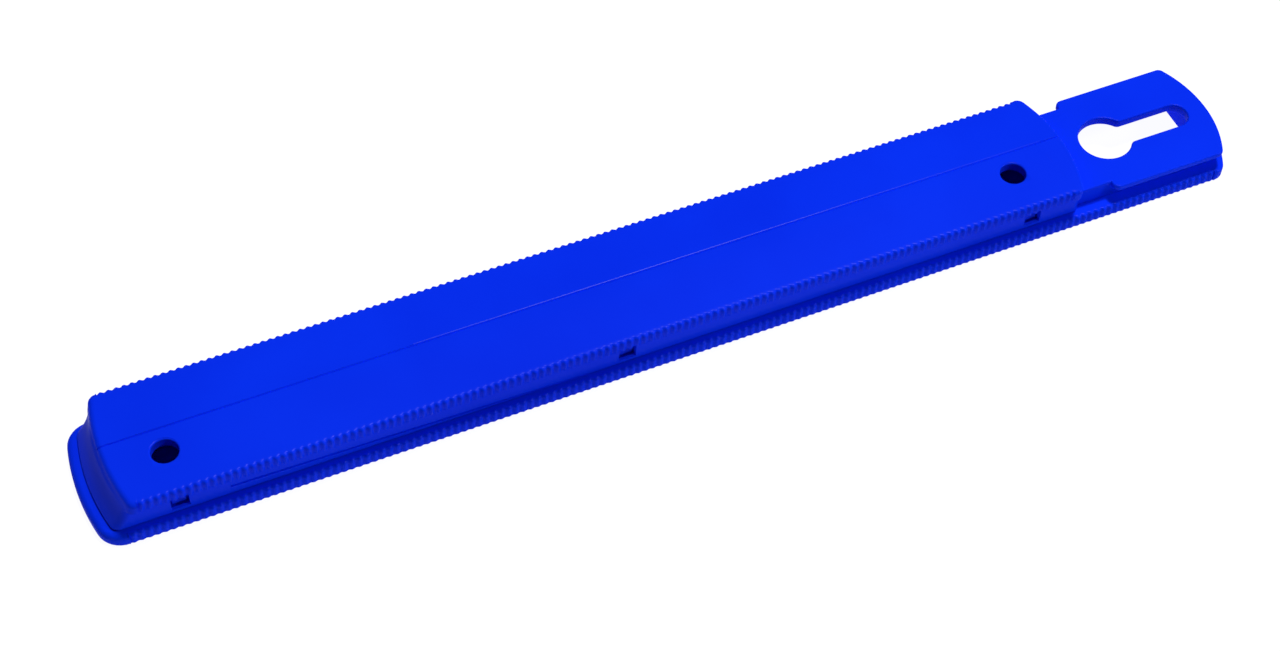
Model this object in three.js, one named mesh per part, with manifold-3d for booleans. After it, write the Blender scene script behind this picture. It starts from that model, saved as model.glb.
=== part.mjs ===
// A bag clip: two moulded bars that press together over a folded bag mouth.
// The lower bar carries the rail and a hanging tab, and the upper bar is a channel that fits over the rail.
// Millimetres, +X along the clip towards the tab, +Z up, z = 0 on the clip's underside.
import * as THREE from 'three';
import { mergeVertices } from 'three/addons/utils/BufferGeometryUtils.js';
import Module from 'manifold-3d';

const wasm = await Module();
wasm.setup();

// Driving dimensions
const overallLength = 267.6;
const toothPitch = 1.65;
const toothDepth = 0.45;
const gap = 0.3;

// Levels
const flangeTop = 3.0;
const railTop = 7.6;
const lipBottom = 9.0;
const rimTop = 11.8;
const crownRise = 0.5;

// Half widths
const flangeHalf = 15.45;
const tabHalf = 14.1;
const railHalf = 12.0;
const lipHalf = 15;
const wallHalf = 13.6;

// How each end bows: the radius of its arc in plan, and of the corners beside it
const flangeLeftBow = 55;
const flangeLeftCorner = 5.5;
const flangeRightCorner = 3;
const rimLeftBow = 55;
const rimRightBow = 43.5;
const rimCorner = 2;
const tabBow = 28.5;
const tabCorner = 1.6;

// Lower bar, lengthwise
const flangeLeft = -overallLength / 2;
const flangeRight = overallLength / 2;
const railLeft = -125.8;
const shoulderX = 100.8;
const tabRight = flangeRight - 1.2;
const tabWallRight = tabRight - (tabHalf - railHalf);

// Upper bar, lengthwise
const rimLeft = -127.9;
const rimRight = 94.2;
const endFlare = 3.6;
const endWall = 1.7;

// Lower bar details
const railPlate = 2.0;
const tabLip = 1.4;
const tabPlate = 2.2;
const pocketHalf = 10.6;
const crossRib = 1.4;
const bayCount = 9;
const grooveY = 1.1;
const grooveHalf = 1.9;
const grooveDepth = 1.0;
const keyholeX = 106.2;
const keyholeRadius = 6.1;
const slotHalf = 3.2;
const slotEndX = 124.4;
const tabPocketRight = 128.4;
const catchHalf = 1.5;
const catchReach = 0.45;

// Upper bar details
const ceiling = rimTop - 1.8;
const channelHalf = railHalf + gap;
const clampHalf = 1.0;
const clampTip = railTop - grooveDepth + 0.4;
const creaseY = grooveY;
const creaseHalf = 0.7;
const creaseDepth = 0.25;
const holeRadius = 2.9;
const holeY = -4.7;
const holeXs = [-115.4, 79];
const wellFloor = 2.0;
const wellRight = 92;
const windowXs = [-115.6, -17.8, 80];
const windowHalf = 1.95;
const windowSill = 4.5;

const blue = { color: 0x0a2ee6, roughness: 0.42, metalness: 0 };

// One bowed end of a plan with rounded corners, drawn anticlockwise.
// side is 1 for the end that faces +X and -1 for the end that faces -X.
function addEnd(plan, end, side, half, bowRadius, corner) {
  const centre = end - side * bowRadius;
  const reach = Math.sqrt((bowRadius - corner) ** 2 - (half - corner) ** 2);
  const bow = Math.atan2(half - corner, reach);
  const cornerX = centre + side * reach;
  const cornerY = side * (half - corner);
  const facing = side > 0 ? 0 : Math.PI;
  const quarter = Math.PI / 2;
  plan.absarc(cornerX, -cornerY, corner, facing - quarter, facing - bow);
  plan.absarc(centre, 0, bowRadius, facing - bow, facing + bow);
  plan.absarc(cornerX, cornerY, corner, facing + bow, facing + quarter);
}

// A bar's plan: straight sides between two bowed ends.
// A toothed plan has a row of fine teeth between teeth.from and teeth.to on both long sides.
function barPlan(left, right, half, leftBow, rightBow, corners, teeth) {
  const plan = new THREE.Shape();
  addEnd(plan, right, 1, half, rightBow, corners[1]);
  if (teeth) addTeeth(plan, teeth.to, teeth.from, half);
  addEnd(plan, left, -1, half, leftBow, corners[0]);
  if (teeth) addTeeth(plan, teeth.from, teeth.to, -half);
  return plan;
}

function addTeeth(plan, from, to, side) {
  const count = Math.floor(Math.abs(to - from) / toothPitch);
  const step = Math.sign(to - from) * toothPitch;
  const root = side - Math.sign(side) * toothDepth;
  for (let i = 0; i < count; i += 1) {
    plan.lineTo(from + i * step, root);
    plan.lineTo(from + (i + 0.5) * step, side);
  }
  plan.lineTo(from + count * step, root);
}

// The tab's plan: square shoulders towards the rail and a bowed far end.
function tabPlan() {
  const corner = tabCorner;
  const quarter = Math.PI / 2;
  const plan = new THREE.Shape();
  plan.absarc(shoulderX + corner, corner - tabHalf, corner, 2 * quarter, 3 * quarter);
  addEnd(plan, tabRight, 1, tabHalf, tabBow, corner);
  plan.absarc(shoulderX + corner, tabHalf - corner, corner, quarter, 2 * quarter);
  return plan;
}

function solid(geometry) {
  const bare = geometry.clone();
  bare.deleteAttribute('normal');
  bare.deleteAttribute('uv');
  const merged = mergeVertices(bare);
  return new wasm.Manifold(new wasm.Mesh({
    numProp: 3,
    vertProperties: new Float32Array(merged.attributes.position.array),
    triVerts: new Uint32Array(merged.index.array),
  }));
}

function upright(plan, bottom, top, steps = 1, curveSegments = 6) {
  const options = { depth: top - bottom, steps, curveSegments, bevelEnabled: false };
  const geometry = new THREE.ExtrudeGeometry(plan, options);
  geometry.translate(0, 0, bottom);
  return geometry;
}

// A section drawn as [y, z] points and run along X
function lengthwise(points, left, right) {
  const plan = new THREE.Shape(points.map(([y, z]) => new THREE.Vector2(y, z)));
  const geometry = new THREE.ExtrudeGeometry(plan, { depth: right - left, bevelEnabled: false });
  geometry.rotateX(Math.PI / 2);
  geometry.rotateZ(Math.PI / 2);
  geometry.translate(left, 0, 0);
  return solid(geometry);
}

function block(left, right, near, far, bottom, top) {
  const geometry = new THREE.BoxGeometry(right - left, far - near, top - bottom);
  geometry.translate((left + right) / 2, (near + far) / 2, (bottom + top) / 2);
  return solid(geometry);
}

function roundHole(x, y, radius, bottom, top) {
  const geometry = new THREE.CylinderGeometry(radius, radius, top - bottom, 32);
  geometry.rotateX(Math.PI / 2);
  geometry.translate(x, y, (bottom + top) / 2);
  return solid(geometry);
}

// The upper bar's left end sweeps outwards towards its foot in a hollow curve
function flare(geometry) {
  const points = geometry.attributes.position;
  const foot = flangeTop + gap;
  for (let i = 0; i < points.count; i += 1) {
    const fall = THREE.MathUtils.clamp((rimTop - points.getZ(i)) / (rimTop - foot), 0, 1);
    if (points.getX(i) < 0) points.setX(i, points.getX(i) - endFlare * fall ** 2);
  }
  return geometry;
}

function node(name, body) {
  const result = body.getMesh();
  const geometry = new THREE.BufferGeometry();
  geometry.setAttribute('position', new THREE.BufferAttribute(result.vertProperties, 3));
  geometry.setIndex(new THREE.BufferAttribute(result.triVerts, 1));
  geometry.computeVertexNormals();
  const mesh = new THREE.Mesh(geometry, new THREE.MeshStandardMaterial(blue));
  mesh.name = name;
  return mesh;
}

// Two catches face each other at every window, one on each side of the rail
function railCatches() {
  const section = [
    [-railHalf - catchReach, windowSill + 0.1],
    [railHalf + catchReach, windowSill + 0.1],
    [railHalf + catchReach, windowSill + 0.4],
    [railHalf - 0.1, railTop - 0.1],
    [0.1 - railHalf, railTop - 0.1],
    [-railHalf - catchReach, windowSill + 0.4],
  ];
  return windowXs.map((x) => lengthwise(section, x - catchHalf, x + catchHalf));
}

// Bays along the rail, parted by cross ribs. They open downwards, except the two below the round
// holes, which open upwards so that the holes look down into a well with a closed floor.
function railBays() {
  const left = railLeft + 2.4;
  const right = shoulderX - 2.4;
  const pitch = (right - left + crossRib) / bayCount;
  const openBelow = (from, to) => block(from, to, -pocketHalf, pocketHalf, -1, railTop - railPlate);
  const openAbove = (from, to) => block(from, to, -pocketHalf, pocketHalf, wellFloor, railTop + 1);
  const bays = [openAbove(left, left + pitch - crossRib)];
  for (let i = 1; i < bayCount - 1; i += 1) {
    const start = left + i * pitch;
    bays.push(openBelow(start, start + pitch - crossRib));
  }
  bays.push(openAbove(right - pitch + crossRib, wellRight));
  bays.push(openBelow(wellRight + crossRib, right));
  return bays;
}

function keyhole() {
  const mouth = Math.asin(slotHalf / keyholeRadius);
  const plan = new THREE.Shape();
  plan.absarc(keyholeX, 0, keyholeRadius, mouth, 2 * Math.PI - mouth);
  plan.absarc(slotEndX, 0, slotHalf, -Math.PI / 2, Math.PI / 2);
  return solid(upright(plan, -1, railTop + 1, 1, 16));
}

function lowerBar() {
  const teeth = { from: flangeLeft + 6.7, to: flangeRight - 7 };
  const corners = [flangeLeftCorner, flangeRightCorner];
  const flange = barPlan(flangeLeft, flangeRight, flangeHalf, flangeLeftBow, tabBow, corners, teeth);
  const rail = barPlan(railLeft, tabWallRight, railHalf, rimLeftBow, tabBow, [tabCorner, tabCorner]);
  let bar = solid(upright(flange, 0, flangeTop));
  bar = bar.add(solid(upright(rail, 1, railTop)));
  bar = bar.add(solid(upright(tabPlan(), railTop - tabLip, railTop)));
  for (const piece of railCatches()) bar = bar.add(piece);
  for (const bay of railBays()) bar = bar.subtract(bay);
  const tabPocketTop = railTop - tabPlate;
  bar = bar.subtract(block(shoulderX - 1, tabPocketRight, -pocketHalf, pocketHalf, -1, tabPocketTop));
  const near = grooveY - grooveHalf;
  const far = grooveY + grooveHalf;
  bar = bar.subtract(block(railLeft + 3, rimRight + 1.5, near, far, railTop - grooveDepth, railTop + 1));
  return bar.subtract(keyhole());
}

// The space inside the upper bar: open below, closed by the end wall at the left,
// and open at the right only as high as the rail that leaves there
function channelSpace() {
  const foot = flangeTop + gap;
  const corners = [rimCorner, rimCorner];
  const inner = barPlan(rimLeft + endWall, rimRight - endWall, channelHalf, rimLeftBow, rimRightBow, corners);
  let space = solid(flare(upright(inner, foot - 1, ceiling, 8)));
  space = space.add(block(0, rimRight + 1, -channelHalf, channelHalf, foot - 1, railTop + gap));
  const near = creaseY - clampHalf;
  const far = creaseY + clampHalf;
  return space.subtract(block(rimLeft + 6, rimRight - 4, near, far, clampTip, ceiling + 1));
}

function crown() {
  const far = lipHalf + 1;
  const ridge = rimTop + crownRise;
  const section = [
    [-far, flangeTop],
    [far, flangeTop],
    [far, rimTop],
    [lipHalf, rimTop],
    [creaseY + creaseHalf, ridge],
    [creaseY, ridge - creaseDepth],
    [creaseY - creaseHalf, ridge],
    [-lipHalf, rimTop],
    [-far, rimTop],
  ];
  return lengthwise(section, rimLeft - 10, rimRight + 10);
}

// A window through each side wall, with a shallow lead-in for the catch below it
function windowCuts(x) {
  const left = x - windowHalf;
  const right = x + windowHalf;
  const outer = wallHalf + 1;
  const leadIn = channelHalf + catchReach + gap;
  const near = block(left, right, -outer, 1 - channelHalf, windowSill, lipBottom);
  const far = block(left, right, channelHalf - 1, outer, windowSill, lipBottom);
  const path = block(left, right, -leadIn, leadIn, flangeTop - 1, windowSill + 0.1);
  return near.add(far).add(path);
}

function upperBar() {
  const foot = flangeTop + gap;
  const height = rimTop + crownRise;
  const teeth = { from: rimLeft + 3.7, to: rimRight - 4.2 };
  const corners = [rimCorner, rimCorner];
  const walls = barPlan(rimLeft, rimRight, wallHalf, rimLeftBow, rimRightBow, corners);
  const lip = barPlan(rimLeft, rimRight, lipHalf, rimLeftBow, rimRightBow, corners, teeth);
  let bar = solid(flare(upright(walls, foot, height, 8)));
  bar = bar.add(solid(upright(lip, lipBottom, height)));
  bar = bar.intersect(crown());
  bar = bar.subtract(channelSpace());
  for (const x of windowXs) bar = bar.subtract(windowCuts(x));
  for (const x of holeXs) bar = bar.subtract(roundHole(x, holeY, holeRadius, ceiling - 1, height + 1));
  return bar;
}

const clip = new THREE.Group();
clip.name = 'bag_clip';
clip.add(node('lower_bar', lowerBar()));
clip.add(node('upper_bar', upperBar()));

export default clip;
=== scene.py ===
"""A blue moulded bag clip lying closed on a pale floor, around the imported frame.

Two bars: the lower one has a toothed flange, a rail and a hanging tab, and the upper one is a channel
pressed over the rail. Shapes are worked out in millimetres and scaled to metres at the end.
"""

import math

import bpy
import numpy as np
from mathutils import Matrix, Vector


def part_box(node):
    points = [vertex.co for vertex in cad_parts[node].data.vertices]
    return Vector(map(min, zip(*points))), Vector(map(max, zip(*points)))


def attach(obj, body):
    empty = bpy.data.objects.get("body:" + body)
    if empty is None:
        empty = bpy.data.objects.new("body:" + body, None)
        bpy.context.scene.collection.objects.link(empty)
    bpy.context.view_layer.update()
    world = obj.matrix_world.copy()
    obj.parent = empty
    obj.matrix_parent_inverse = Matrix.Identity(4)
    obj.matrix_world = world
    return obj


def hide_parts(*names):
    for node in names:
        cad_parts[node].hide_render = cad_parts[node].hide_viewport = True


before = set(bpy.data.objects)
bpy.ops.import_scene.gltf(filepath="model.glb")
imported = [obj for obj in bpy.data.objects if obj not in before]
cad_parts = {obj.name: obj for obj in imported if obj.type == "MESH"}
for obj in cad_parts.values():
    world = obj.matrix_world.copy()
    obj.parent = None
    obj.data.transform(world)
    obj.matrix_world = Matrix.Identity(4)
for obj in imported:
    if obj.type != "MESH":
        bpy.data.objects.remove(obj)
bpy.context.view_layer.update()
MM = 1000.0
lower_low, lower_high = (np.array(corner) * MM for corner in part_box("lower_bar"))
_, upper_high = (np.array(corner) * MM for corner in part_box("upper_bar"))

# Sizes shared with the CAD. A bow is the radius of a bowed end.
TOOTH_PITCH = 1.65
TOOTH_DEPTH = 0.45
POINTS_PER_TOOTH = 8
GAP = 0.3
FLANGE_TOP = 3.0
RAIL_TOP = lower_high[2]
LIP_BOTTOM = 9.0
RIM_TOP = 11.8
FLANGE_HALF = lower_high[1]
TAB_HALF = 14.1
RAIL_HALF = 12.0
LIP_HALF = upper_high[1]
WALL_HALF = 13.6
FLANGE_LEFT = lower_low[0]
FLANGE_RIGHT = lower_high[0]
RAIL_LEFT = -125.8
SHOULDER_X = 100.8
TAB_RIGHT = FLANGE_RIGHT - 1.2
TAB_WALL_RIGHT = TAB_RIGHT - (TAB_HALF - RAIL_HALF)
RIM_LEFT = -127.9
RIM_RIGHT = upper_high[0]
FLANGE_LEFT_BOW, RIM_LEFT_BOW, RIM_RIGHT_BOW, TAB_BOW = 55, 55, 43.5, 28.5
FLANGE_CORNERS = (5.5, 3.0)
RIM_CORNER = 2.0
STRAIGHT = 1e4
END_FLARE = 3.6
FLARE_FROM_X, FLARE_TO_X = -118, -124.5
FOOT = FLANGE_TOP + GAP
CEILING = RIM_TOP - 1.8
CHANNEL_HALF = RAIL_HALF + GAP
POCKET_HALF = 10.6
RAIL_PLATE = 2.0
TAB_LIP = 1.4
TAB_PLATE = 2.2
CREASE_Y = 1.1
HOLE_Y = -4.7
HOLE_XS = (-115.4, 79.0)
HOLE_RADIUS = 2.9
WELL_FLOOR, WELL_RIGHT = 2.0, 92.0
WINDOW_XS = (-115.6, -17.8, 80.0)
WINDOW_HALF = 1.95
WINDOW_SILL = 4.5
KEYHOLE_X, KEYHOLE_RADIUS = 106.2, 6.1
SLOT_HALF, SLOT_END_X = 3.2, 124.4
TAB_POCKET_RIGHT = 128.4
RAIL_END_WALL, CROSS_RIB, BAY_COUNT, BAY_CORNER = 2.4, 1.4, 9, 0.8
GROOVE_HALF, GROOVE_DEPTH = 1.9, 1.0
CATCH_HALF, CATCH_REACH = 1.5, 0.45
CLAMP_HALF = 1.0
END_WALL = 1.7

# Details that only the visible shape has
CROWN_RISE = 0.5
CREASE_DEPTH, CREASE_EXTRA, CREASE_HALF = 0.26, 0.12, 0.15
DEEP_UNTIL_X, SHALLOW_FROM_X = -127, -30
SINK_DEPTH, SINK_WIDTH = 0.06, 2.4
HOLE_EDGE = 0.35
KEYHOLE_EDGE, KEYHOLE_UNDER = 0.4, 0.3
WITNESS_ENDS = ((-105.0, 5.75), (-26.5, FOOT + 0.15))

# Steps round a quarter turn, as angles
QUARTER = math.pi / 2
COARSE_TURN = (0.0, 0.52, 1.05, 1.57)
FINE_TURN = (0.0, 0.4, 0.8, 1.2, 1.57)


# Outlines


def plan(left, right, half, left_bow, right_bow, corners, xs, outer_count=18, middle_count=9):
    """A closed outline with bowed ends, anticlockwise from the front of the right end, as
    (points, outward normals, end weights). xs are the places of the points along each long side.
    corners is the left and the right corner radius, or one for both.
    The middle 4.4 mm of each end has points of its own."""
    points, normals, ends = [], [], []

    def arc(cx, cy, radius, angles):
        for a in angles:
            points.append((cx + radius * math.cos(a), cy + radius * math.sin(a)))
            normals.append((math.cos(a), math.sin(a)))
            ends.append(1.0)

    def end(side, tip, bow_radius):
        corner = corners if isinstance(corners, float) else corners[side > 0]
        centre = tip - side * bow_radius
        reach = math.sqrt((bow_radius - corner) ** 2 - (half - corner) ** 2)
        bow = math.atan2(half - corner, reach)
        facing = 0 if side > 0 else math.pi
        edge = bow_radius * math.sin(bow)
        middle = min(2.2, edge * 0.4)
        outer = np.linspace(middle, edge, outer_count)
        inner = np.linspace(-middle, middle, middle_count)
        across = np.concatenate([-outer[::-1], inner[1:-1], outer])
        cx, cy = centre + side * reach, side * (half - corner)
        arc(cx, -cy, corner, np.linspace(facing - QUARTER, facing - bow, 9)[:-1])
        arc(centre, 0, bow_radius, facing + np.arcsin(across / bow_radius))
        arc(cx, cy, corner, np.linspace(facing + bow, facing + QUARTER, 9)[1:])

    end(1, right, right_bow)
    points.extend((x, half) for x in xs[::-1])
    normals.extend((0, 1) for _ in xs)
    ends.extend(0.0 for _ in xs)
    end(-1, left, left_bow)
    points.extend((x, -half) for x in xs)
    normals.extend((0, -1) for _ in xs)
    ends.extend(0.0 for _ in xs)
    return np.array(points), np.array(normals), np.array(ends)


def tooth_stations(start, stop, left, right):
    """Where a toothed side has its points: many to a tooth, and a few on each plain stretch."""
    count = int((stop - start) / TOOTH_PITCH)
    toothed = start + np.arange(count * POINTS_PER_TOOTH + 1) * TOOTH_PITCH / POINTS_PER_TOOTH
    before = np.linspace(left, start, 3)[:-1]
    after = np.linspace(toothed[-1], right, 4)[1:]
    return np.concatenate([before, toothed, after])


def tooth_notch(points, ends, start, stop):
    """How deep each point of a toothed outline sits below the crests: rounded ribs and valleys."""
    count = int((stop - start) / TOOTH_PITCH)
    place = (points[:, 0] - start) / TOOTH_PITCH
    u = place - np.floor(place + 1e-6)
    valley = 0.5 + 0.5 * np.cos(2 * math.pi * u)
    inside = (place > -1e-6) & (place < count + 1e-6) & (ends < 0.5)
    return np.where(inside, TOOTH_DEPTH * valley, 0.0)


def smooth(edge0, edge1, x):
    """0 at edge0 and 1 at edge1, with a soft change between them."""
    t = np.clip((x - edge0) / (edge1 - edge0), 0, 1)
    return t * t * (3 - 2 * t)


def inset(outline, amount):
    """The outline's points moved inwards by amount, which is one number or one for each point."""
    points, normals, _ = outline
    return points - normals * np.broadcast_to(np.asarray(amount, float), len(points))[:, None]


def level(points, z):
    """An outline lifted to height z, which is one number or one for each point."""
    return np.column_stack([points, np.broadcast_to(np.asarray(z, float), len(points))])


# Meshes


def make(name, vertices, faces):
    """A mesh piece in the scene."""
    mesh = bpy.data.meshes.new(name)
    mesh.from_pydata(np.asarray(vertices, float).tolist(), [], faces)
    piece = bpy.data.objects.new(name, mesh)
    bpy.context.scene.collection.objects.link(piece)
    return piece


def skin(name, rings, seam=0):
    """A closed solid through a stack of outlines with the same number of points. The last outline may
    have shrunk to a line: seam is then how many of its points belong to the first end, and its sides
    are joined."""
    count = len(rings[0])
    top = (len(rings) - 1) * count
    faces = [tuple(range(count - 1, -1, -1))]

    def at(k, i):
        i %= count
        if seam and k == len(rings) - 1:
            i = min(i, (seam - 1 - i) % count)
        return k * count + i

    for k in range(len(rings) - 1):
        for i in range(count):
            around = (at(k, i), at(k, i + 1), at(k + 1, i + 1), at(k + 1, i))
            faces.append(tuple(dict.fromkeys(around)))
    if not seam:
        faces.append(tuple(range(top, top + count)))
        return make(name, np.vstack(rings), faces)
    used = sorted({index for face in faces for index in face})
    place = {index: k for k, index in enumerate(used)}
    return make(name, np.vstack(rings)[used], [tuple(place[i] for i in face) for face in faces])


def combine(piece, tool, operation):
    """Changes piece with tool, which is used up."""
    step = piece.modifiers.new("step", "BOOLEAN")
    step.object = tool
    step.operation = operation
    step.solver = "MANIFOLD"
    depsgraph = bpy.context.evaluated_depsgraph_get()
    done = bpy.data.meshes.new_from_object(piece.evaluated_get(depsgraph))
    piece.modifiers.clear()
    old = piece.data
    piece.data = done
    bpy.data.meshes.remove(old)
    bpy.data.objects.remove(tool)


def cut(piece, tool):
    combine(piece, tool, "DIFFERENCE")


def fuse(piece, tool):
    combine(piece, tool, "UNION")


def turn_up(outline, bottom, radius, angles):
    """Rings up a rounded bottom edge. A negative radius flares out instead."""
    rings = []
    for a in angles:
        place = inset(outline, radius * (1 - math.sin(a)))
        rings.append(level(place, bottom + abs(radius) * (1 - math.cos(a))))
    return rings


def turn_in(outline, top, radius, angles):
    """Rings over a rounded top edge. A negative radius flares out instead."""
    rings = []
    for a in angles:
        place = inset(outline, radius * (1 - math.cos(a)))
        rings.append(level(place, top - abs(radius) * (1 - math.sin(a))))
    return rings


def rounded(outline, bottom, top, under=0.0, over=0.0):
    """The rings of an upright solid. under and over are the radii of its bottom and top edges."""
    angles = np.linspace(0, QUARTER, 5)
    lower = turn_up(outline, bottom, under, angles if under else angles[:1])
    return lower + turn_in(outline, top, over, angles if over else angles[:1])


def box_plan(left, right, half, corner, centre=0.0):
    points, normals, ends = plan(left, right, half, STRAIGHT, STRAIGHT, corner, np.array([]), 4, 5)
    return points + np.array([0, centre]), normals, ends


def upright_box(name, left, right, half, bottom, top, corner):
    return skin(name, rounded(box_plan(left, right, half, corner), bottom, top))


def turned(name, x, y, profile, count=64):
    """A solid of revolution about an upright axis through x, y; profile is [(radius, z), ...] from below."""
    angles = np.arange(count) * 2 * math.pi / count
    circle = np.column_stack([np.cos(angles), np.sin(angles)])
    return skin(name, [level(circle * r + np.array([x, y]), z) for r, z in profile])


def prism(name, left_end, right_end):
    """A solid between two ends with the same number of points, anticlockwise seen from +X."""
    count = len(left_end)
    faces = [tuple(range(count - 1, -1, -1)), tuple(range(count, 2 * count))]
    faces += [(i, (i + 1) % count, count + (i + 1) % count, count + i) for i in range(count)]
    return make(name, left_end + right_end, faces)


def prism_x(name, section, left, right):
    """A section of (y, z) points run along X."""
    return prism(name, [(left, y, z) for y, z in section], [(right, y, z) for y, z in section])


# Lower bar


def keyhole_plan(fillet=1.5):
    """The keyhole's outline: a round hole, a slot to its right and rounded corners where they meet."""
    side = SLOT_HALF + fillet
    away = math.sqrt((KEYHOLE_RADIUS + fillet) ** 2 - side**2)
    mouth = math.atan2(side, away)
    points, normals = [], []

    def arc(cx, cy, radius, start, stop, count, inner=False):
        for a in np.linspace(start, stop, count):
            points.append((cx + radius * math.cos(a), cy + radius * math.sin(a)))
            normals.append((-math.cos(a), -math.sin(a)) if inner else (math.cos(a), math.sin(a)))

    arc(KEYHOLE_X, 0, KEYHOLE_RADIUS, mouth, 2 * math.pi - mouth, 72)
    arc(KEYHOLE_X + away, -side, fillet, math.pi - mouth, QUARTER, 9, inner=True)
    arc(SLOT_END_X, 0, SLOT_HALF, -QUARTER, QUARTER, 36)
    arc(KEYHOLE_X + away, side, fillet, -QUARTER, mouth - math.pi, 9, inner=True)
    keep = [i for i in range(len(points)) if math.dist(points[i], points[i - 1]) > 1e-4]
    return np.array(points)[keep], np.array(normals)[keep], np.zeros(len(keep))


def flange_skin():
    """The flange, with ribs that are shallow at the foot, full in the middle and rounded off at the top."""
    start, stop = FLANGE_LEFT + 6.7, FLANGE_RIGHT - 6.5
    xs = tooth_stations(start, stop, FLANGE_LEFT + 6.6, FLANGE_RIGHT - 6.3)
    outline = plan(FLANGE_LEFT, FLANGE_RIGHT, FLANGE_HALF, FLANGE_LEFT_BOW, TAB_BOW, FLANGE_CORNERS, xs)
    points, _, ends = outline
    notch = tooth_notch(points, ends, start, stop)
    left_end = ends * (points[:, 0] < 0)
    # Radii of the lower and upper edge, which differ between the sides and the two ends
    under = 0.35 + 0.15 * ends
    over = 0.8 - 0.25 * ends + 0.75 * left_end
    rings = []
    for a in np.linspace(0, QUARTER, 4):
        share = 0.2 + 0.3 * math.sin(a)
        place = inset(outline, notch * share + under * (1 - math.sin(a)))
        rings.append(level(place, under * (1 - math.cos(a))))
    rings.append(level(inset(outline, notch * 0.85), 1.1))
    for a in np.linspace(0, QUARTER, 6):
        share = 1 - 0.35 * (a / QUARTER) ** 2
        place = inset(outline, notch * share + over * (1 - math.cos(a)))
        rings.append(level(place, FLANGE_TOP - over * (1 - math.sin(a))))
    return skin("flange", rings)


def add_catches(bar):
    """Two catches face each other at every window, one on each side of the rail."""
    reach, foot = RAIL_HALF + CATCH_REACH, WINDOW_SILL + 0.12
    for x in WINDOW_XS:
        section = [
            (-reach, foot),
            (reach, foot),
            (reach, WINDOW_SILL + 0.4),
            (RAIL_HALF - 0.1, RAIL_TOP - 0.12),
            (0.1 - RAIL_HALF, RAIL_TOP - 0.12),
            (-reach, WINDOW_SILL + 0.4),
        ]
        fuse(bar, prism_x("catch", section, x - CATCH_HALF, x + CATCH_HALF))


def cut_bays(bar):
    """Bays along the rail and one under the tab. Those below the two round holes open upwards, with a
    closed floor, and the others open downwards."""
    left, right = RAIL_LEFT + RAIL_END_WALL, SHOULDER_X - RAIL_END_WALL
    pitch = (right - left + CROSS_RIB) / BAY_COUNT
    open_below = [(left + i * pitch, left + (i + 1) * pitch - CROSS_RIB) for i in range(1, BAY_COUNT - 1)]
    open_below.append((WELL_RIGHT + CROSS_RIB, right))
    for start, stop in open_below:
        bay = box_plan(start, stop, POCKET_HALF, BAY_CORNER)
        cut(bar, skin("bay", rounded(bay, -1.0, RAIL_TOP - RAIL_PLATE, over=0.5)))
    for start, stop in ((left, left + pitch - CROSS_RIB), (right - pitch + CROSS_RIB, WELL_RIGHT)):
        well = box_plan(start, stop, POCKET_HALF, BAY_CORNER)
        cut(bar, skin("well", rounded(well, WELL_FLOOR, RAIL_TOP + 1, under=0.4)))
    pocket = box_plan(SHOULDER_X - 1, TAB_POCKET_RIGHT, POCKET_HALF, BAY_CORNER)
    cut(bar, skin("pocket", rounded(pocket, -1.0, RAIL_TOP - TAB_PLATE, over=0.4)))


def cut_groove(bar):
    """The groove along the rail that the clamp rib presses the bag into."""
    groove = box_plan(RAIL_LEFT + 3, RIM_RIGHT + 1.5, GROOVE_HALF, 0.5, CREASE_Y)
    steps = (
        (0.3, -GROOVE_DEPTH),
        (0.0, 0.3 - GROOVE_DEPTH),
        (0.0, -0.15),
        (-0.15, 0.0),
        (-0.15, 1.0),
    )
    cut(bar, skin("groove", [level(inset(groove, amount), RAIL_TOP + z) for amount, z in steps]))


def cut_keyhole(bar):
    """The keyhole, with its edges rounded above and below the tab's plate."""
    hole = keyhole_plan()
    under = RAIL_TOP - TAB_PLATE
    rings = [level(inset(hole, -KEYHOLE_UNDER), under - 2)]
    rings += turn_up(hole, under, -KEYHOLE_UNDER, COARSE_TURN)
    rings += turn_in(hole, RAIL_TOP, -KEYHOLE_EDGE, FINE_TURN)
    rings.append(level(inset(hole, -KEYHOLE_EDGE), RAIL_TOP + 1))
    cut(bar, skin("keyhole", rings))


def lower_bar():
    bar = flange_skin()
    side = np.linspace(RAIL_LEFT + 4, TAB_WALL_RIGHT - 6, 40)
    rail = plan(RAIL_LEFT, TAB_WALL_RIGHT, RAIL_HALF, RIM_LEFT_BOW, TAB_BOW, 1.6, side)
    fuse(bar, skin("rail", rounded(rail, 1.0, RAIL_TOP, over=0.35)))
    side = np.linspace(SHOULDER_X + 3, TAB_RIGHT - 6, 8)
    tab = plan(SHOULDER_X, TAB_RIGHT, TAB_HALF, STRAIGHT, TAB_BOW, 1.6, side)
    fuse(bar, skin("tab", rounded(tab, RAIL_TOP - TAB_LIP, RAIL_TOP, under=0.2, over=0.4)))
    add_catches(bar)
    cut_bays(bar)
    cut_groove(bar)
    cut_keyhole(bar)
    return bar


# Upper bar


def crown(x, y):
    """The top's height: two gentle slopes that meet in a fine crease in a shallow sink. The crease is
    deepest at the left."""
    away = np.abs(y - CREASE_Y)
    span = np.where(y > CREASE_Y, LIP_HALF - CREASE_Y, LIP_HALF + CREASE_Y)
    rise = CROWN_RISE * (1 - away / span)
    depth = CREASE_DEPTH + CREASE_EXTRA * (1 - smooth(DEEP_UNTIL_X, SHALLOW_FROM_X, x))
    fine = depth * np.clip(1.25 - away / CREASE_HALF, 0, 1)
    sink = SINK_DEPTH * np.exp(-((away / SINK_WIDTH) ** 2))
    return RIM_TOP + rise - fine - sink


def fall(z):
    """0 at the rim and 1 at the foot."""
    return np.clip((RIM_TOP - z) / (RIM_TOP - FOOT), 0, 1)


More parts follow.
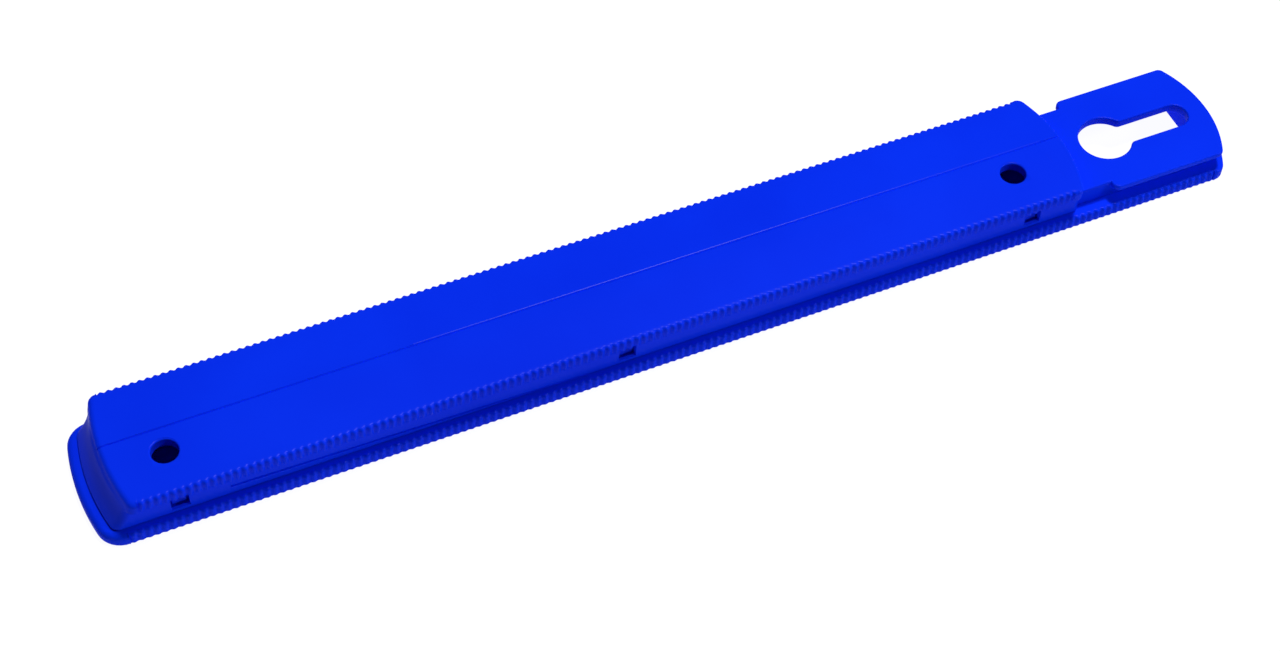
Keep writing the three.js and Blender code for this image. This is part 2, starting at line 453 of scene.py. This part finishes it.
def flared(rings):
    """The left end sweeps outwards towards its foot in a hollow curve."""
    out = []
    for ring in rings:
        ring = ring.copy()
        reach = smooth(FLARE_FROM_X, FLARE_TO_X, ring[:, 0])
        ring[:, 0] -= END_FLARE * fall(ring[:, 2]) ** 2 * reach
        out.append(ring)
    return out


def upper_skin():
    """The upper bar's outside: plain walls, a ribbed lip that stands out from them, and the crowned top."""
    start, stop = RIM_LEFT + 3.85, RIM_RIGHT - 4.15
    xs = tooth_stations(start, stop, RIM_LEFT + 3.75, RIM_RIGHT - 4.1)
    shape = (RIM_LEFT_BOW, RIM_RIGHT_BOW, RIM_CORNER, xs, 26, 41)
    wall = plan(RIM_LEFT, RIM_RIGHT, WALL_HALF, *shape)
    lip = plan(RIM_LEFT, RIM_RIGHT, LIP_HALF, *shape)
    points, _, ends = lip
    notch = tooth_notch(points, ends, start, stop)
    side = 1 - ends
    left_end = ends * (points[:, 0] < 0)

    rings = [level(inset(wall, 0.15), FOOT), level(inset(wall, 0.0), FOOT + 0.15)]
    rings += [level(wall[0], z) for z in np.linspace(FOOT + 0.8, LIP_BOTTOM - 0.1, 7)]
    rings.append(level(inset(lip, side * (notch + 0.2)), LIP_BOTTOM))
    rings += [level(inset(lip, side * notch), LIP_BOTTOM + rise) for rise in (0.2, 1.4)]
    # Radius of the top edge: 0.8 on the sides, 0.6 at the right end and 1.2 at the left end
    radius = 0.8 * side + 0.6 * ends + 0.6 * left_end
    edge = inset(lip, radius)
    top = crown(edge[:, 0], edge[:, 1])
    for a in np.linspace(0, QUARTER, 6):
        share = 1 - 0.3 * (a / QUARTER) ** 2
        place = inset(lip, notch * share + radius * (1 - math.cos(a)))
        rings.append(level(place, top - radius * (1 - math.sin(a))))
    rings = flared(rings)
    # The top closes in on the crease, in ever finer steps, and its ends draw in a little
    for t in (0.05, 0.14, 0.26, 0.4, 0.54, 0.67, 0.78, 0.86, 0.92, 0.955, 0.98, 0.99, 1.0):
        x = edge[:, 0] * (1 - 0.024 * t)
        y = CREASE_Y + (edge[:, 1] - CREASE_Y) * (1 - t)
        rings.append(np.column_stack([x, y, crown(x, y)]))
    return skin("upper", rings, seam=int(np.argmin(ends)))


def witness_line():
    """A fine raised line that slants down the front wall, left by the mould."""
    section = ((0.1, -0.11), (0.1, 0.11), (-0.01, 0.11), (-0.27, 0.055), (-0.02, -0.11))
    ends = [[(x, out - WALL_HALF, z + up) for out, up in section] for x, z in WITNESS_ENDS]
    return prism("witness", *ends)


def cut_channel(bar):
    """The space inside, open at the right end, where the rail runs on to the tab."""
    side = np.linspace(RIM_LEFT + 6, RIM_RIGHT - 6, 40)
    left, right = RIM_LEFT + END_WALL, RIM_RIGHT - END_WALL
    inner = plan(left, right, CHANNEL_HALF, RIM_LEFT_BOW, RIM_RIGHT_BOW, 1.9, side)
    rings = [level(inner[0], z) for z in (FOOT - 1, *np.linspace(FOOT, CEILING - 1.4, 6))]
    rings += turn_in(inner, CEILING, 0.5, COARSE_TURN)
    cut(bar, skin("channel", flared(rings)))
    cut(bar, upright_box("mouth", 0, RIM_RIGHT + 2, CHANNEL_HALF, FOOT - 1, RAIL_TOP + GAP, 0.2))


def add_clamp(bar):
    """The clamp rib under the crease, which reaches into the rail's groove."""
    near, far = CREASE_Y - CLAMP_HALF, CREASE_Y + CLAMP_HALF
    tip = RAIL_TOP - 0.6
    section = [
        (near + 0.2, tip),
        (far - 0.2, tip),
        (far, tip + 0.3),
        (far, CEILING - 0.4),
        (far + 0.5, CEILING + 0.4),
        (near - 0.5, CEILING + 0.4),
        (near, CEILING - 0.4),
        (near, tip + 0.3),
    ]
    fuse(bar, prism_x("clamp", section, RIM_LEFT + 6, RIM_RIGHT - 4))


def cut_windows(bar):
    """A window through each side wall, with a sloping sill and a lead-in for the catch below it."""
    inner, outer, head = CHANNEL_HALF - 1, WALL_HALF + 1, LIP_BOTTOM - 0.05
    section = [
        (inner, WINDOW_SILL),
        (WALL_HALF - 0.4, WINDOW_SILL),
        (WALL_HALF + 0.05, WINDOW_SILL - 0.3),
        (outer, WINDOW_SILL - 0.3),
        (outer, head),
        (inner, head),
    ]
    opposite = [(-y, z) for y, z in reversed(section)]
    for x in WINDOW_XS:
        left, right = x - WINDOW_HALF, x + WINDOW_HALF
        for side in (section, opposite):
            cut(bar, prism_x("window", side, left, right))
        depth = CHANNEL_HALF + CATCH_REACH + GAP
        cut(bar, upright_box("lead", left, right, depth, FLANGE_TOP - 1, WINDOW_SILL + 0.1, 0.1))


def cut_holes(bar):
    """The two round holes, with their top edges rounded."""
    face = RIM_TOP + CROWN_RISE * (1 - abs(HOLE_Y - CREASE_Y) / (LIP_HALF + CREASE_Y))
    profile = [(HOLE_RADIUS, CEILING - 1), (HOLE_RADIUS, face - HOLE_EDGE)]
    for a in (0.4, 0.8, 1.2, 1.5):
        radius = HOLE_RADIUS + HOLE_EDGE * (1 - math.cos(a))
        profile.append((radius, face - HOLE_EDGE * (1 - math.sin(a))))
    profile.append((HOLE_RADIUS + 0.55, face + 0.3))
    for x in HOLE_XS:
        cut(bar, turned("hole", x, HOLE_Y, profile))


def upper_bar():
    bar = upper_skin()
    cut_channel(bar)
    add_clamp(bar)
    cut_windows(bar)
    fuse(bar, witness_line())
    cut_holes(bar)
    return bar


# Finish


def dress(piece, name, material):
    """Names the piece, scales it to metres, and gives it its material and its soft and sharp edges."""
    piece.name = name
    mesh = piece.data
    mesh.name = name
    mesh.transform(Matrix.Scale(1 / MM, 4))
    for polygon in mesh.polygons:
        polygon.use_smooth = True
    mesh.set_sharp_from_angle(angle=math.radians(40))
    mesh.materials.clear()
    mesh.materials.append(material)
    weigh = piece.modifiers.new("weigh", "WEIGHTED_NORMAL")
    weigh.keep_sharp = True
    weigh.weight = 80


def blue_plastic():
    """Satin moulded plastic: barely uneven colour, faint flow marks along X and a very fine grain."""
    material = bpy.data.materials.new("blue_moulded_plastic")
    material.use_nodes = True
    nodes, links = material.node_tree.nodes, material.node_tree.links
    shader = nodes["Principled BSDF"]
    place = nodes.new("ShaderNodeTexCoord")

    def noise(scale, detail, roughness=0.5, stretch=None):
        made = nodes.new("ShaderNodeTexNoise")
        made.inputs["Scale"].default_value = scale
        made.inputs["Detail"].default_value = detail
        made.inputs["Roughness"].default_value = roughness
        if stretch:
            mapping = nodes.new("ShaderNodeMapping")
            mapping.inputs["Scale"].default_value = stretch
            links.new(place.outputs["Object"], mapping.inputs["Vector"])
            links.new(mapping.outputs["Vector"], made.inputs["Vector"])
        else:
            links.new(place.outputs["Object"], made.inputs["Vector"])
        return made.outputs["Fac"]

    def ramp(source, stops):
        made = nodes.new("ShaderNodeValToRGB")
        while len(made.color_ramp.elements) < len(stops):
            made.color_ramp.elements.new(0.5)
        for element, (position, colour) in zip(made.color_ramp.elements, stops):
            element.position = position
            element.color = (*colour, 1)
        links.new(source, made.inputs["Fac"])
        return made.outputs["Color"]

    broad = noise(28, 3)
    colour = ramp(broad, [(0.3, (0.0016, 0.024, 0.80)), (0.7, (0.0020, 0.030, 0.87))])
    links.new(colour, shader.inputs["Base Color"])
    flow = noise(420, 4, 0.6, (0.25, 1, 1))
    rough = ramp(flow, [(0.25, (0.21, 0.21, 0.21)), (0.75, (0.28, 0.28, 0.28))])
    links.new(rough, shader.inputs["Roughness"])
    grain = noise(2600, 3, 0.6)
    bump = nodes.new("ShaderNodeBump")
    bump.inputs["Strength"].default_value = 0.12
    bump.inputs["Distance"].default_value = 0.00004
    links.new(grain, bump.inputs["Height"])
    links.new(bump.outputs["Normal"], shader.inputs["Normal"])
    shader.inputs["IOR"].default_value = 1.49
    shader.inputs["Specular IOR Level"].default_value = 0.002
    shader.inputs["Coat Weight"].default_value = 0.055
    shader.inputs["Coat Roughness"].default_value = 0.22
    return material


plastic = blue_plastic()
lower = lower_bar()
dress(lower, "lower_bar_moulding", plastic)
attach(lower, "lower_bar")
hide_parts("lower_bar")

upper = upper_bar()
dress(upper, "upper_bar_moulding", plastic)
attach(upper, "upper_bar")
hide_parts("upper_bar")


# Floor, light and camera


def floor():
    """A white floor that glows a little, so that it stays white in the model's shade."""
    material = bpy.data.materials.new("pale_floor")
    material.use_nodes = True
    shader = material.node_tree.nodes["Principled BSDF"]
    shader.inputs["Base Color"].default_value = (0.12, 0.12, 0.12, 1)
    shader.inputs["Emission Color"].default_value = (1, 1, 1, 1)
    shader.inputs["Emission Strength"].default_value = 0.96
    shader.inputs["Roughness"].default_value = 0.9
    shader.inputs["Specular IOR Level"].default_value = 0.1
    reach = 2500
    corners = [(-reach, -reach, 0), (reach, -reach, 0), (reach, reach, 0), (-reach, reach, 0)]
    piece = make("floor", corners, [(0, 1, 2, 3)])
    piece.data.transform(Matrix.Scale(1 / MM, 4))
    piece.data.materials.append(material)


def softbox(name, place, size, power):
    """A square soft light at place, turned towards the middle of the clip."""
    lamp = bpy.data.lights.new(name, "AREA")
    lamp.shape = "SQUARE"
    lamp.size = size
    lamp.energy = power
    piece = bpy.data.objects.new(name, lamp)
    bpy.context.scene.collection.objects.link(piece)
    piece.location = place
    piece.rotation_euler = (-Vector(place)).to_track_quat("-Z", "Y").to_euler()


floor()
softbox("key", (0.6, 0.4, 2.1), 0.4, 41)
softbox("fill", (1.2, -0.7, 0.9), 0.3, 9)
world = bpy.data.worlds.new("white_room")
world.use_nodes = True
world.node_tree.nodes["Background"].inputs["Color"].default_value = (1, 1, 1, 1)
world.node_tree.nodes["Background"].inputs["Strength"].default_value = 0.05
bpy.context.scene.world = world
bpy.context.scene.view_settings.view_transform = "Standard"


def camera():
    """Looks down at the clip from its front left, slightly rolled."""
    azimuth, elevation, roll = (math.radians(a) for a in (-25.49, 52.17, 2.34))
    target, distance = Vector((-0.0124, -0.0078, 0.006)), 0.5258
    along = math.cos(elevation)
    back = Vector((math.sin(azimuth) * along, -math.cos(azimuth) * along, math.sin(elevation)))
    right = (-back).cross(Vector((0, 0, 1))).normalized()
    up = right.cross(-back)
    cosine, sine = math.cos(roll), math.sin(roll)
    right, up = right * cosine + up * sine, up * cosine - right * sine
    lens = bpy.data.cameras.new("camera")
    lens.sensor_width = 36
    lens.lens = 69.45
    lens.clip_start, lens.clip_end = 0.01, 20
    piece = bpy.data.objects.new("camera", lens)
    bpy.context.scene.collection.objects.link(piece)
    turn = Matrix((right, up, back)).transposed().to_4x4()
    piece.matrix_world = Matrix.Translation(target + back * distance) @ turn
    bpy.context.scene.camera = piece


camera()
